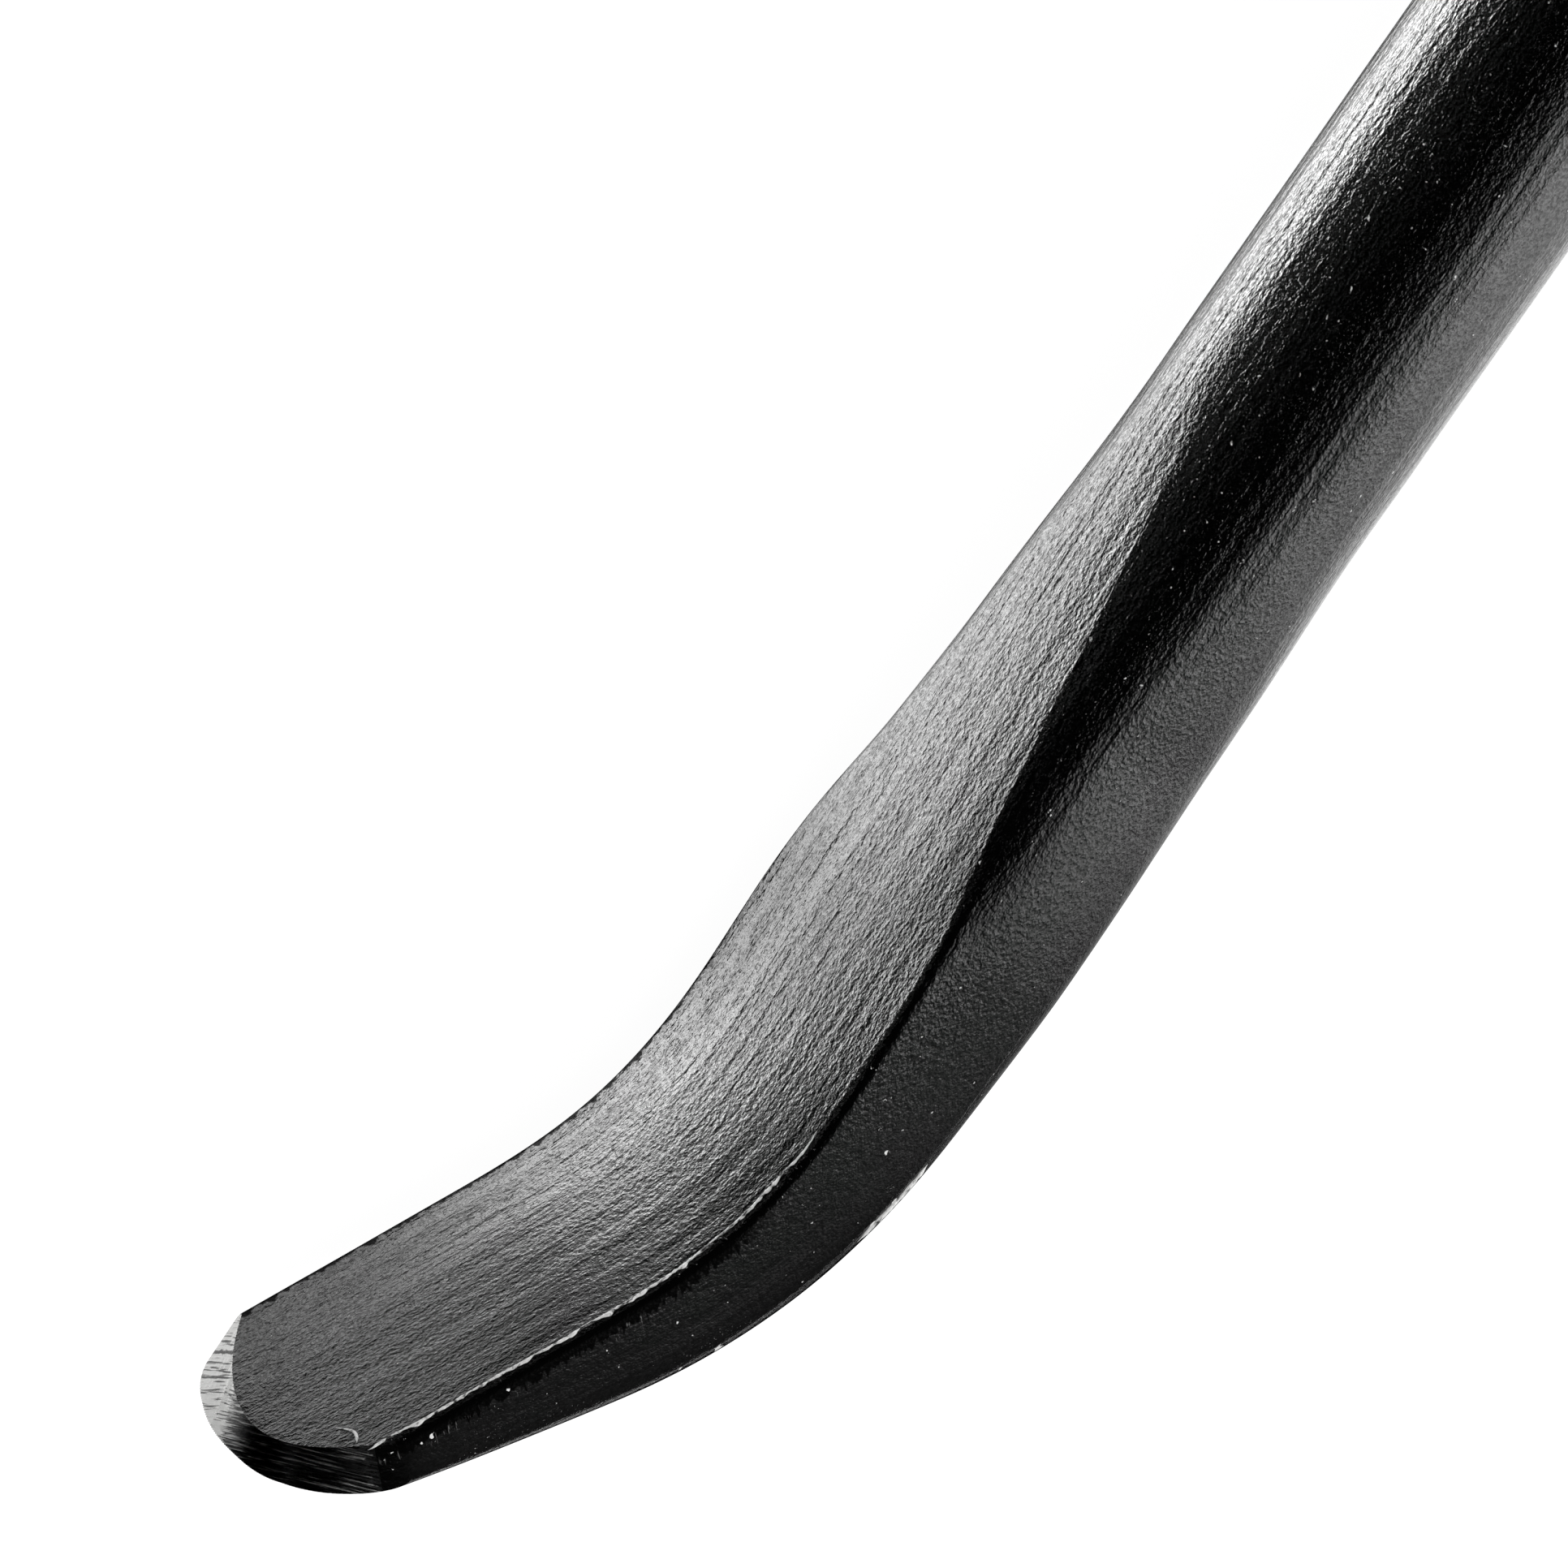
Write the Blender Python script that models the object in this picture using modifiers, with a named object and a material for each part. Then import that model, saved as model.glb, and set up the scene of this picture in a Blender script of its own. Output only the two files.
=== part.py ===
"""A gooseneck crowbar lying on its side.

One forged steel bar has a bent, rounded chisel at +X and a slotted claw on a hook at -X.
A two-material hand grip is pushed onto the straight shank between them.
The bends lie in the XY plane: the chisel turns towards -Y and the hook towards +Y.
"""

import math

import bmesh
import bpy
from mathutils import Matrix, Vector

# Bar and clearances, in metres
BAR_DIAMETER = 0.020
SHANK_LENGTH = 0.4375
CLEARANCE = 0.0003

# Chisel end, measured along the bar from the point where its flat face starts
CHISEL_LENGTH = 0.1176
CHISEL_WIDTH = 0.0223
CHISEL_WIDENS_FROM = 0.030
CHISEL_WIDENS_TO = 0.052
FACE_AT_TIP = 0.0018
FACE_TAPER_POWER = 1.12
HEEL_AT_TIP = 0.0016
HEEL_TAPER_POWER = 2.94
HEEL_HOLLOW = 0.0015
CHISEL_SQUARENESS = 4.4
CHISEL_SQUARE_FROM = 0.007
CHISEL_SQUARE_AT = 0.0635
CHISEL_SWEEP = math.radians(1.6)
CHISEL_SWEEP_LENGTH = 0.060
CHISEL_BEND_FROM = 0.060
CHISEL_BEND_TO = 0.0945
CHISEL_BEND = math.radians(36.6)
TIP_NEAR_RADIUS = 0.0112
TIP_FAR_RADIUS = 0.0064
TIP_LEAN = math.radians(16)
BEVEL_START = 0.0011
BEVEL_TURN = math.radians(32.6)
BEVEL_LEAN = math.radians(47)

# Hook and claw, measured along the bar from the end of the straight shank
HOOK_LENGTH = 0.120
HOOK_BEND_LENGTH = 0.106
HOOK_BEND = math.radians(158)
CLAW_WIDTH = 0.030
CLAW_SIDE_STOCK = 0.0004
CLAW_WIDENS_FROM = 0.036
CLAW_WIDENS_TO = 0.088
CLAW_TIP_THICKNESS = 0.0034
CLAW_THINS_FROM = 0.034
CLAW_TAPER_POWER = 1.25
CLAW_SQUARENESS = 5.0
CLAW_SQUARE_FROM = 0.038
CLAW_SQUARE_AT = 0.084
CLAW_CORNER_RADIUS = 0.005
SLOT_DEPTH = 0.027
SLOT_MOUTH = 0.0115
SLOT_ROOT_RADIUS = 0.0016

# Hand grip, measured along the shank from the chisel's face
GRIP_FROM_FACE = 0.120
GRIP_LENGTH = 0.140
CORE_WALL = 0.0018
COVER_WALL = 0.0026
FLANGE_LENGTH = 0.005
COLLAR_LENGTH = 0.009
COLLAR_LIP = 0.003
EDGE_CHAMFER = 0.0008
GROOVE_COUNT = 9
GROOVE_WIDTH = 0.003
GROOVE_FLOOR = 0.0015
GROOVE_DEPTH = 0.0011
GROOVE_END_MARGIN = 0.014

# How finely round shapes are divided
SECTION_POINTS = 41
STATION_SPACING = 0.003
PATH_STEP = 0.00025
TURNED_SIDES = 40
ARC_STEPS = 16
END_STOCK = 0.003
CUT_BEYOND = 0.012
CUT_DEPTH = 0.036
WELD_DISTANCE = 0.000001
SEAM_DISTANCE = 0.00005
SHARP_ANGLE = math.radians(28)

BAR_RADIUS = BAR_DIAMETER / 2
GRIP_RADIUS = BAR_RADIUS + CLEARANCE + CORE_WALL + CLEARANCE + COVER_WALL
WIDTH_AXIS = Vector((0, 0, 1))


def clear_scene():
    for obj in list(bpy.data.objects):
        bpy.data.objects.remove(obj, do_unlink=True)


def new_collection(name):
    collection = bpy.data.collections.new(name)
    bpy.context.scene.collection.children.link(collection)
    return collection


def material(name, colour, roughness):
    made = bpy.data.materials.new(name)
    made.use_nodes = True
    shader = made.node_tree.nodes["Principled BSDF"]
    shader.inputs["Base Color"].default_value = (*colour, 1)
    shader.inputs["Roughness"].default_value = roughness
    shader.inputs["Metallic"].default_value = 0
    return made


def add_object(name, mesh, collection, surface=None):
    obj = bpy.data.objects.new(name, mesh)
    collection.objects.link(obj)
    if surface:
        mesh.materials.append(surface)
    return obj


def ease(value, start, end):
    """0 up to start, 1 from end on, and a smooth rise between them."""
    share = min(max((value - start) / (end - start), 0), 1)
    return share * share * (3 - 2 * share)


def direction(heading):
    return Vector((math.cos(heading), math.sin(heading), 0))


def walk(length, heading_at, start=Vector((0, 0, 0))):
    """Distance, centre and heading at even stations along a path in the XY plane."""
    stations = math.ceil(length / STATION_SPACING)
    steps = math.ceil(length / stations / PATH_STEP)
    step = length / stations / steps
    centre = start.copy()
    found = [(0, centre.copy(), heading_at(0))]
    for index in range(stations * steps):
        centre += step * direction(heading_at((index + 0.5) * step))
        if (index + 1) % steps == 0:
            along = (index + 1) * step
            found.append((along, centre.copy(), heading_at(along)))
    return found


def chisel_heading(along):
    sweep = CHISEL_SWEEP * min(along / CHISEL_SWEEP_LENGTH, 1)
    return -sweep - CHISEL_BEND * ease(along, CHISEL_BEND_FROM, CHISEL_BEND_TO)


def hook_heading(along):
    return math.pi - HOOK_BEND * ease(along, 0, HOOK_BEND_LENGTH)


def chisel_section(along):
    """Half width, height of the flat face, depth of the heel and squareness."""
    share = min(along / CHISEL_LENGTH, 1)
    widening = ease(along, CHISEL_WIDENS_FROM, CHISEL_WIDENS_TO)
    half_width = BAR_RADIUS + (CHISEL_WIDTH / 2 - BAR_RADIUS) * widening
    face = BAR_RADIUS - (BAR_RADIUS - FACE_AT_TIP) * share**FACE_TAPER_POWER
    hollow = HEEL_HOLLOW * math.sin(math.pi * share) ** 2
    heel = BAR_RADIUS - (BAR_RADIUS - HEEL_AT_TIP) * share**HEEL_TAPER_POWER - hollow
    squareness = 2 + (CHISEL_SQUARENESS - 2) * ease(along, CHISEL_SQUARE_FROM, CHISEL_SQUARE_AT)
    return half_width, face, heel, squareness


def claw_section(along):
    """The same four sizes on the hook, where both faces are alike."""
    rough_half_width = CLAW_WIDTH / 2 + CLAW_SIDE_STOCK
    widening = ease(along, CLAW_WIDENS_FROM, CLAW_WIDENS_TO)
    half_width = BAR_RADIUS + (rough_half_width - BAR_RADIUS) * widening
    share = min(max(along - CLAW_THINS_FROM, 0) / (HOOK_LENGTH - CLAW_THINS_FROM), 1)
    depth = BAR_RADIUS - (BAR_RADIUS - CLAW_TIP_THICKNESS / 2) * share**CLAW_TAPER_POWER
    squareness = 2 + (CLAW_SQUARENESS - 2) * ease(along, CLAW_SQUARE_FROM, CLAW_SQUARE_AT)
    return half_width, depth, depth, squareness


def signed_power(value, power):
    return math.copysign(abs(value) ** power, value)


def ring(centre, upward, section):
    """Points round one section: from the face's one edge, round the heel, to its other edge."""
    half_width, face, heel, squareness = section
    widest_edge = math.pi / 2 - math.pi / SECTION_POINTS
    edge = min(math.asin(min(face / heel, 1) ** (squareness / 2)), widest_edge)
    points = []
    for index in range(SECTION_POINTS):
        angle = edge - (math.pi + 2 * edge) * index / (SECTION_POINTS - 1)
        across = half_width * signed_power(math.cos(angle), 2 / squareness)
        height = heel * signed_power(math.sin(angle), 2 / squareness)
        points.append(centre + across * WIDTH_AXIS + height * upward)
    return points


def face_side(heading):
    """The direction square to the path that is -Y on the shank, for a path that runs towards +X."""
    return Vector((math.sin(heading), -math.cos(heading), 0))


def bar_rings(hook_path, chisel_path):
    rings = []
    for along, centre, heading in reversed(hook_path):
        towards_chisel = face_side(heading + math.pi)
        rings.append(ring(centre, towards_chisel, claw_section(along)))
    for along, centre, heading in chisel_path:
        rings.append(ring(centre, face_side(heading), chisel_section(along)))
    return rings


def loft(name, rings):
    shape = bmesh.new()
    rows = [[shape.verts.new(point) for point in points] for points in rings]
    for row, following in zip(rows, rows[1:]):
        for index, vert in enumerate(row):
            after = (index + 1) % len(row)
            shape.faces.new((vert, following[index], following[after], row[after]))
    shape.faces.new(rows[0])
    shape.faces.new(reversed(rows[-1]))
    bmesh.ops.recalc_face_normals(shape, faces=shape.faces)
    mesh = bpy.data.meshes.new(name)
    shape.to_mesh(mesh)
    shape.free()
    return mesh


def arc(centre, radius, start, end):
    """Points of a flat arc, its ends included."""
    angles = [start + (end - start) * index / ARC_STEPS for index in range(ARC_STEPS + 1)]
    return [(centre[0] + radius * math.cos(a), centre[1] + radius * math.sin(a)) for a in angles]


def cutter(name, outline, place, collection):
    """A flat outline thickened evenly to both sides of its plane, as a closed mesh."""
    flat = bpy.data.curves.new(name, "CURVE")
    flat.dimensions = "2D"
    flat.fill_mode = "BOTH"
    flat.extrude = CUT_DEPTH / 2
    spline = flat.splines.new("POLY")
    spline.points.add(len(outline) - 1)
    for point, (x, y) in zip(spline.points, outline):
        point.co = (x, y, 0, 1)
    spline.use_cyclic_u = True
    source = bpy.data.objects.new(name + "_outline", flat)
    collection.objects.link(source)
    graph = bpy.context.evaluated_depsgraph_get()
    mesh = bpy.data.meshes.new_from_object(source.evaluated_get(graph))
    bpy.data.objects.remove(source, do_unlink=True)
    shape = bmesh.new()
    shape.from_mesh(mesh)
    bmesh.ops.remove_doubles(shape, verts=shape.verts, dist=WELD_DISTANCE)
    bmesh.ops.recalc_face_normals(shape, faces=shape.faces)
    shape.to_mesh(mesh)
    shape.free()
    made = add_object(name, mesh, collection)
    made.matrix_world = place
    made.hide_render = True
    made.display_type = "WIRE"
    return made


def placement(origin, along, across):
    """A matrix whose X runs along the bar, Y across it and Z square to both."""
    square = along.cross(across)
    rotation = Matrix((along, across, square)).transposed().to_4x4()
    return Matrix.Translation(origin) @ rotation


def tip_outline():
    """The space beyond the chisel's end: its far corner is rounded less than its near one."""
    half = CHISEL_WIDTH / 2
    near = TIP_NEAR_RADIUS
    far = TIP_FAR_RADIUS
    side = half + CUT_BEYOND
    outline = [(-near, side), (-near, half)]
    outline += arc((-near, half - near), near, math.pi / 2, 0)[1:]
    outline += arc((-far, far - half), far, 0, -math.pi / 2)
    outline += [(-far, -side), (CUT_BEYOND, -side), (CUT_BEYOND, side)]
    return outline


def tip_cutters(station, collection):
    """The chisel's ground end, which leans out towards the heel, and the bevel on its far corner."""
    _, centre, heading = station
    upward = face_side(heading)
    forward = direction(heading)
    edge_of_face = centre + FACE_AT_TIP * upward
    leaning = forward * math.cos(TIP_LEAN) + upward * math.sin(TIP_LEAN)
    end = placement(edge_of_face, leaning, WIDTH_AXIS)
    outward = forward * math.cos(BEVEL_TURN) - WIDTH_AXIS * math.sin(BEVEL_TURN)
    normal = outward * math.cos(BEVEL_LEAN) + upward * math.sin(BEVEL_LEAN)
    bevel_side = outward.cross(upward)
    bevel = placement(edge_of_face - BEVEL_START * WIDTH_AXIS, normal, bevel_side)
    reach = CHISEL_WIDTH
    half_space = [(0, reach), (0, -reach), (reach, -reach), (reach, reach)]
    return [
        cutter("chisel_tip_cutter", tip_outline(), end, collection),
        cutter("chisel_bevel_cutter", half_space, bevel, collection),
    ]


def claw_outline():
    """The space round the claw seen square to its face: its sides, corners and nail slot."""
    half = CLAW_WIDTH / 2
    corner = CLAW_CORNER_RADIUS
    far_side = half + CUT_BEYOND
    flare = math.atan2(SLOT_MOUTH / 2 - SLOT_ROOT_RADIUS, SLOT_DEPTH - SLOT_ROOT_RADIUS)
    root_centre = (SLOT_ROOT_RADIUS - SLOT_DEPTH, 0)
    root = arc(root_centre, SLOT_ROOT_RADIUS, math.pi / 2 + flare, 3 * math.pi / 2 - flare)
    upper_corner = arc((-corner, half - corner), corner, math.pi / 2, 0)
    lower_corner = arc((-corner, corner - half), corner, 0, -math.pi / 2)
    back = CLAW_WIDENS_FROM - HOOK_LENGTH
    outline = [(CUT_BEYOND, far_side), (back, far_side), (back, half)]
    outline += upper_corner + [(0, SLOT_MOUTH / 2)] + root + [(0, -SLOT_MOUTH / 2)] + lower_corner
    outline += [(back, -half), (back, -far_side), (CUT_BEYOND, -far_side)]
    return outline


def claw_cutters(station, collection):
    _, centre, heading = station
    place = placement(centre, direction(heading), WIDTH_AXIS)
    return [cutter("claw_cutter", claw_outline(), place, collection)]


def forged_bar(parts, cutters):
    """The whole steel bar as one loft, with its two working ends ground to shape."""
    chisel_path = walk(CHISEL_LENGTH + END_STOCK, chisel_heading)
    hook_start = Vector((-SHANK_LENGTH, 0, 0))
    hook_path = walk(HOOK_LENGTH + END_STOCK, hook_heading, hook_start)
    surface = material("black_enamel", colour=(0.012, 0.012, 0.013), roughness=0.3)
    mesh = loft("forged_bar", bar_rings(hook_path, chisel_path))
    bar = add_object("forged_bar", mesh, parts, surface)
    claw_end = walk(HOOK_LENGTH, hook_heading, hook_start)[-1]
    chisel_end = walk(CHISEL_LENGTH, chisel_heading)[-1]
    for shape in claw_cutters(claw_end, cutters) + tip_cutters(chisel_end, cutters):
        cut = bar.modifiers.new(shape.name, "BOOLEAN")
        cut.operation = "DIFFERENCE"
        cut.object = shape
    mesh.shade_smooth()
    mesh.set_sharp_from_angle(angle=SHARP_ANGLE)
    return bar


def turned(name, profile, start, collection, surface):
    """Turns a closed profile of (radius, distance) about the shank, from start towards the hook."""
    mesh = bpy.data.meshes.new(name)
    count = len(profile)
    points = [(radius, 0, distance) for radius, distance in profile]
    edges = [(index, (index + 1) % count) for index in range(count)]
    mesh.from_pydata(points, edges, [])
    obj = add_object(name, mesh, collection, surface)
    obj.location = (-start, 0, 0)
    obj.rotation_euler = (0, -math.pi / 2, 0)
    screw = obj.modifiers.new("turn", "SCREW")
    screw.steps = TURNED_SIDES
    screw.render_steps = TURNED_SIDES
    screw.use_merge_vertices = True
    screw.merge_threshold = SEAM_DISTANCE
    return obj


def chamfered(outer, top, bottom):
    """The outer side of a turned piece, run from its top to its bottom, with both edges broken."""
    return [
        (outer - EDGE_CHAMFER, top),
        (outer, top - EDGE_CHAMFER),
        (outer, bottom + EDGE_CHAMFER),
        (outer - EDGE_CHAMFER, bottom),
    ]


def core_sizes():
    bore = BAR_RADIUS + CLEARANCE
    outer = bore + CORE_WALL
    length = GRIP_LENGTH - COLLAR_LIP - CLEARANCE
    return bore, outer, length


def grip_core(parts):
    """The hard sleeve on the shank, with a flange at its chisel end."""
    bore, outer, length = core_sizes()
    profile = [(bore, length), (outer, length), (outer, FLANGE_LENGTH)]
    profile += chamfered(GRIP_RADIUS, FLANGE_LENGTH, 0) + [(bore, 0)]
    surface = material("grip_polypropylene", colour=(0.035, 0.036, 0.038), roughness=0.45)
    return turned("grip_core", profile, GRIP_FROM_FACE, parts, surface)


def locking_collar(parts):
    """The ring that is pressed over the sleeve's hook end and keeps the soft cover on."""
    bore, core_outer, core_length = core_sizes()
    seat = core_outer + CLEARANCE
    step = core_length + CLEARANCE
    base = GRIP_LENGTH - COLLAR_LENGTH
    profile = chamfered(GRIP_RADIUS, GRIP_LENGTH, base)
    profile += [(seat, base), (seat, step), (bore, step), (bore, GRIP_LENGTH)]
    surface = material("collar_polypropylene", colour=(0.035, 0.036, 0.038), roughness=0.45)
    return turned("locking_collar", profile, GRIP_FROM_FACE, parts, surface)


def grip_cover(parts):
    """The soft ribbed sleeve between the flange and the collar."""
    _, core_outer, _ = core_sizes()
    bore = core_outer + CLEARANCE
    bottom = FLANGE_LENGTH + CLEARANCE
    top = GRIP_LENGTH - COLLAR_LENGTH - CLEARANCE
    first = bottom + GROOVE_END_MARGIN
    pitch = (top - bottom - 2 * GROOVE_END_MARGIN) / (GROOVE_COUNT - 1)
    outer = chamfered(GRIP_RADIUS, top, bottom)
    grooves = []
    for index in reversed(range(GROOVE_COUNT)):
        middle = first + index * pitch
        grooves += [
            (GRIP_RADIUS, middle + GROOVE_WIDTH / 2),
            (GRIP_RADIUS - GROOVE_DEPTH, middle + GROOVE_FLOOR / 2),
            (GRIP_RADIUS - GROOVE_DEPTH, middle - GROOVE_FLOOR / 2),
            (GRIP_RADIUS, middle - GROOVE_WIDTH / 2),
        ]
    profile = outer[:2] + grooves + outer[2:] + [(bore, bottom), (bore, top)]
    surface = material("soft_rubber", colour=(0.02, 0.02, 0.021), roughness=0.75)
    return turned("grip_cover", profile, GRIP_FROM_FACE, parts, surface)


def stand_on_origin(pieces, helpers, collection):
    """Moves the part by one parent empty, so the middle of its underside is the world's origin."""
    bpy.context.view_layer.update()
    graph = bpy.context.evaluated_depsgraph_get()
    corners = []
    for piece in pieces:
        solid = piece.evaluated_get(graph)
        corners += [solid.matrix_world @ Vector(corner) for corner in solid.bound_box]
    low = [min(corner[axis] for corner in corners) for axis in range(3)]
    high = [max(corner[axis] for corner in corners) for axis in range(3)]
    origin = bpy.data.objects.new("crowbar_origin", None)
    collection.objects.link(origin)
    for obj in pieces + helpers:
        obj.parent = origin
    origin.location = (-(low[0] + high[0]) / 2, -(low[1] + high[1]) / 2, -low[2])


def main():
    clear_scene()
    parts = new_collection("crowbar")
    cutters = new_collection("cutters")
    bar = forged_bar(parts, cutters)
    grip = [grip_core(parts), locking_collar(parts), grip_cover(parts)]
    stand_on_origin([bar, *grip], list(cutters.objects), parts)


main()
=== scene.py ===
"""The looks of a gooseneck crowbar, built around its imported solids.

The bar is rebuilt finely from the same sizes as its solid: black enamel over forged steel,
with a torn lip along the blade and a tip ground to bare metal. The hand grip gets rounded
edges, moulded grooves and a fine texture. Lengths are in metres, +Z is up.
"""

import math
from collections import namedtuple

import bmesh
import bpy
from mathutils import Matrix, Vector, kdtree, noise


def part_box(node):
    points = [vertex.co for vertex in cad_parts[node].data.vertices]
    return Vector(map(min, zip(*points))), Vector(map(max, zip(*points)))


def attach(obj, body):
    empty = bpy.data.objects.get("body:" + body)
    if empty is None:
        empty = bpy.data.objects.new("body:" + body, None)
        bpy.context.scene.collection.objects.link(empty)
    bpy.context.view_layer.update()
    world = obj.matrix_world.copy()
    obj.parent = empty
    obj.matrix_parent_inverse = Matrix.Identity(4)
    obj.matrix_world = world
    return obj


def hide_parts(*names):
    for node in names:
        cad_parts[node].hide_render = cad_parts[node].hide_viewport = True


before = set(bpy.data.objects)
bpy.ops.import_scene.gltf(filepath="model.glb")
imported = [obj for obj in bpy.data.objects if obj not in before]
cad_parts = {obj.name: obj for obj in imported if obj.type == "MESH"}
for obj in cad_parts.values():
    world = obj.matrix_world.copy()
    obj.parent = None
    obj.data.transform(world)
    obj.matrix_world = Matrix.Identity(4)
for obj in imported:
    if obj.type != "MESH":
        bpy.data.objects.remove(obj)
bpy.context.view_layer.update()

# Sizes of the bar, the same as its solid's
BAR_DIAMETER = 0.020
SHANK_LENGTH = 0.4375
CHISEL_LENGTH = 0.1176
CHISEL_WIDTH = 0.0223
CHISEL_WIDENS = 0.030, 0.052
FACE_AT_TIP = 0.0018
FACE_TAPER_POWER = 1.12
HEEL_AT_TIP = 0.0016
HEEL_TAPER_POWER = 2.94
HEEL_HOLLOW = 0.0015
CHISEL_SQUARENESS = 4.4
CHISEL_SQUARES = 0.007, 0.0635
CHISEL_SWEEP = math.radians(1.6)
CHISEL_SWEEP_LENGTH = 0.060
CHISEL_BEND = math.radians(36.6)
CHISEL_BENDS = 0.060, 0.0945
HOOK_LENGTH = 0.120
HOOK_BEND_LENGTH = 0.106
HOOK_BEND = math.radians(158)
CLAW_WIDTH = 0.030
CLAW_SIDE_STOCK = 0.0004
CLAW_WIDENS = 0.036, 0.088
CLAW_TIP_THICKNESS = 0.0034
CLAW_THINS_FROM = 0.034
CLAW_TAPER_POWER = 1.25
CLAW_SQUARENESS = 5.0
CLAW_SQUARES = 0.038, 0.084
CLAW_CORNER_RADIUS = 0.005
SLOT_DEPTH = 0.027
SLOT_MOUTH = 0.0115
SLOT_ROOT_RADIUS = 0.0016

# Hand grip, the same as its solids
GRIP_FROM_FACE = 0.120
GRIP_LENGTH = 0.140
CLEARANCE = 0.0003
CORE_WALL = 0.0018
COVER_WALL = 0.0026
FLANGE_LENGTH = 0.005
COLLAR_LENGTH = 0.009
COLLAR_LIP = 0.003
EDGE_ROUND = 0.0008
EDGE_ROUND_SHARE = 0.45
GROOVE_COUNT = 9
GROOVE_WIDTH = 0.003
GROOVE_DEPTH = 0.0011
GROOVE_END_MARGIN = 0.014

# How finely the visible meshes are divided
HEEL_POINTS = 64
SIDE_POINTS = 26
FACE_POINTS = 48
BLADE_SPACING = 0.0006
SHANK_SPACING = 0.004
HOOK_SPACING = 0.0012
PATH_STEP = 0.0001
TURNED_SIDES = 144
ARC_STEPS = 24
ROUND_STEPS = 5
TIP_POINTS = 90
SHARP_ANGLE = math.radians(28)

# The bar's ends are lofted past their length by END_STOCK, and then cut
END_STOCK = 0.003
CUT_BEYOND = 0.012
CUT_DEPTH = 0.036
TIP_OVERHANG = 0.001
TIP_CUT_BEYOND = 2.2

# Names of what each point of the bar stores: its place on the bar laid out straight, and how far
# it lies below the face's level and from the far edge
STRAIGHT_PLACE = "straight_place"
EDGE_PLACE = "edge_place"

# The crown and the corners of the blade's face, and the bar's forged unevenness
FACE_CROWN = 0.00025
FORGING_WAVE = 0.00008
FORGING_WAVELENGTH = 0.012
CROWN_FADES = 0.085, 0.105
CORNER_RADIUS = 0.0009
CORNER_FORMS = 0.040, 0.058
CREASE_TURN = 0.02

# The chisel's ground end: how far past CHISEL_LENGTH it reaches, where across, and how far and
# how sharply it draws back at the near and the far side, on the face and on the heel
FACE_REACH = -0.00015
FACE_REACH_AT = 0.0008
FACE_DRAW_BACK = 0.0072, 0.0056
FACE_DRAW_POWER = 2.3, 1.8
HEEL_REACH = 0.0011
HEEL_REACH_AT = -0.0018
HEEL_DRAW_BACK = 0.0088, 0.0027
HEEL_DRAW_POWER = 3.0, 2.1
GROUND_FROM = 0.1118

# Threads of torn metal: the burr along the blade's near edge, the curl at its end, and the flakes
# on the heel's edge, at a share of the heel's depth. Along the blade the curl starts at CURL_START,
# leans by CURL_LEAN and bows back by CURL_BOW, and its waves are taken from CURL_WAVES_FROM on.
BURR_FROM = 0.067
BURR_FULL_FROM = 0.073
BURR_TO = 0.1126
BURR_SIZE = 0.00017
CURL_BEFORE_END = 0.0004
CURL_INSIDE_EDGE = 0.0014
CURL_REACH = 0.0026
CURL_START = 0.0005
CURL_LEAN = 0.0004
CURL_BOW = 0.0006
CURL_WAVES_FROM = 0.2
CURL_SIZE = 0.00017
FLAKES_FROM = 0.0654
FLAKES_TO = 0.0726
FLAKES_SIZE = 0.0003
FLAKES_SHARE = 0.66
THREAD_SPACING = 0.0001
THREAD_SIDES = 10
THREAD_SWAY = 0.00026
THREAD_LIFT = 0.00002
THREAD_FADE = 0.001
THREAD_LEAST = 0.08
THREAD_CORE = 0.00001
THREAD_LEAN = 0.12

# The waves that make a thread ragged: length and seed
SLOW_WAVE = 0.0052, 3
COARSE_WAVE = 0.0021, 1
MIDDLE_WAVE = 0.0008, 5
FINE_WAVE = 0.00032, 9

# Camera: where it stands, and what it is aimed at from the point where the chisel's face starts
CAMERA_AZIMUTH = math.radians(-10.9)
CAMERA_ELEVATION = math.radians(47.97)
CAMERA_ROLL = math.radians(133.0)
CAMERA_LENS = 800
SENSOR_WIDTH = 36
FRAME_WIDTH = 0.11586
AIM = Vector((0.04862, -0.01535, -0.0053))

BAR_RADIUS = BAR_DIAMETER / 2
CORE_BORE = BAR_RADIUS + CLEARANCE
CORE_OUTER = CORE_BORE + CORE_WALL
COVER_BORE = CORE_OUTER + CLEARANCE
GRIP_RADIUS = COVER_BORE + COVER_WALL
WIDTH_AXIS = Vector((0, 0, 1))
GRIP_LOW, GRIP_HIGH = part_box("grip_core")
FACE_START = Vector((
    GRIP_HIGH.x + GRIP_FROM_FACE,
    (GRIP_LOW.y + GRIP_HIGH.y) / 2,
    (GRIP_LOW.z + GRIP_HIGH.z) / 2,
))
HOOK_START = FACE_START - Vector((SHANK_LENGTH, 0, 0))


def link(name, data):
    obj = bpy.data.objects.new(name, data)
    bpy.context.scene.collection.objects.link(obj)
    return obj


def add_object(name, mesh, *surfaces):
    for surface in surfaces:
        mesh.materials.append(surface)
    return link(name, mesh)


def add_shape(name, shape, *surfaces):
    """Adds what was built up as a shape, with its faces turned outwards."""
    bmesh.ops.recalc_face_normals(shape, faces=shape.faces)
    mesh = bpy.data.meshes.new(name)
    shape.to_mesh(mesh)
    shape.free()
    return add_object(name, mesh, *surfaces)


def ease(value, start, end):
    """0 up to start, 1 from end on, and a smooth rise between them."""
    share = min(max((value - start) / (end - start), 0), 1)
    return share * share * (3 - 2 * share)


# Nodes

# Which of the mix node's sockets hold colours
FIRST_COLOUR = 6
SECOND_COLOUR = 7
MIXED_COLOUR = 2


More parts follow.
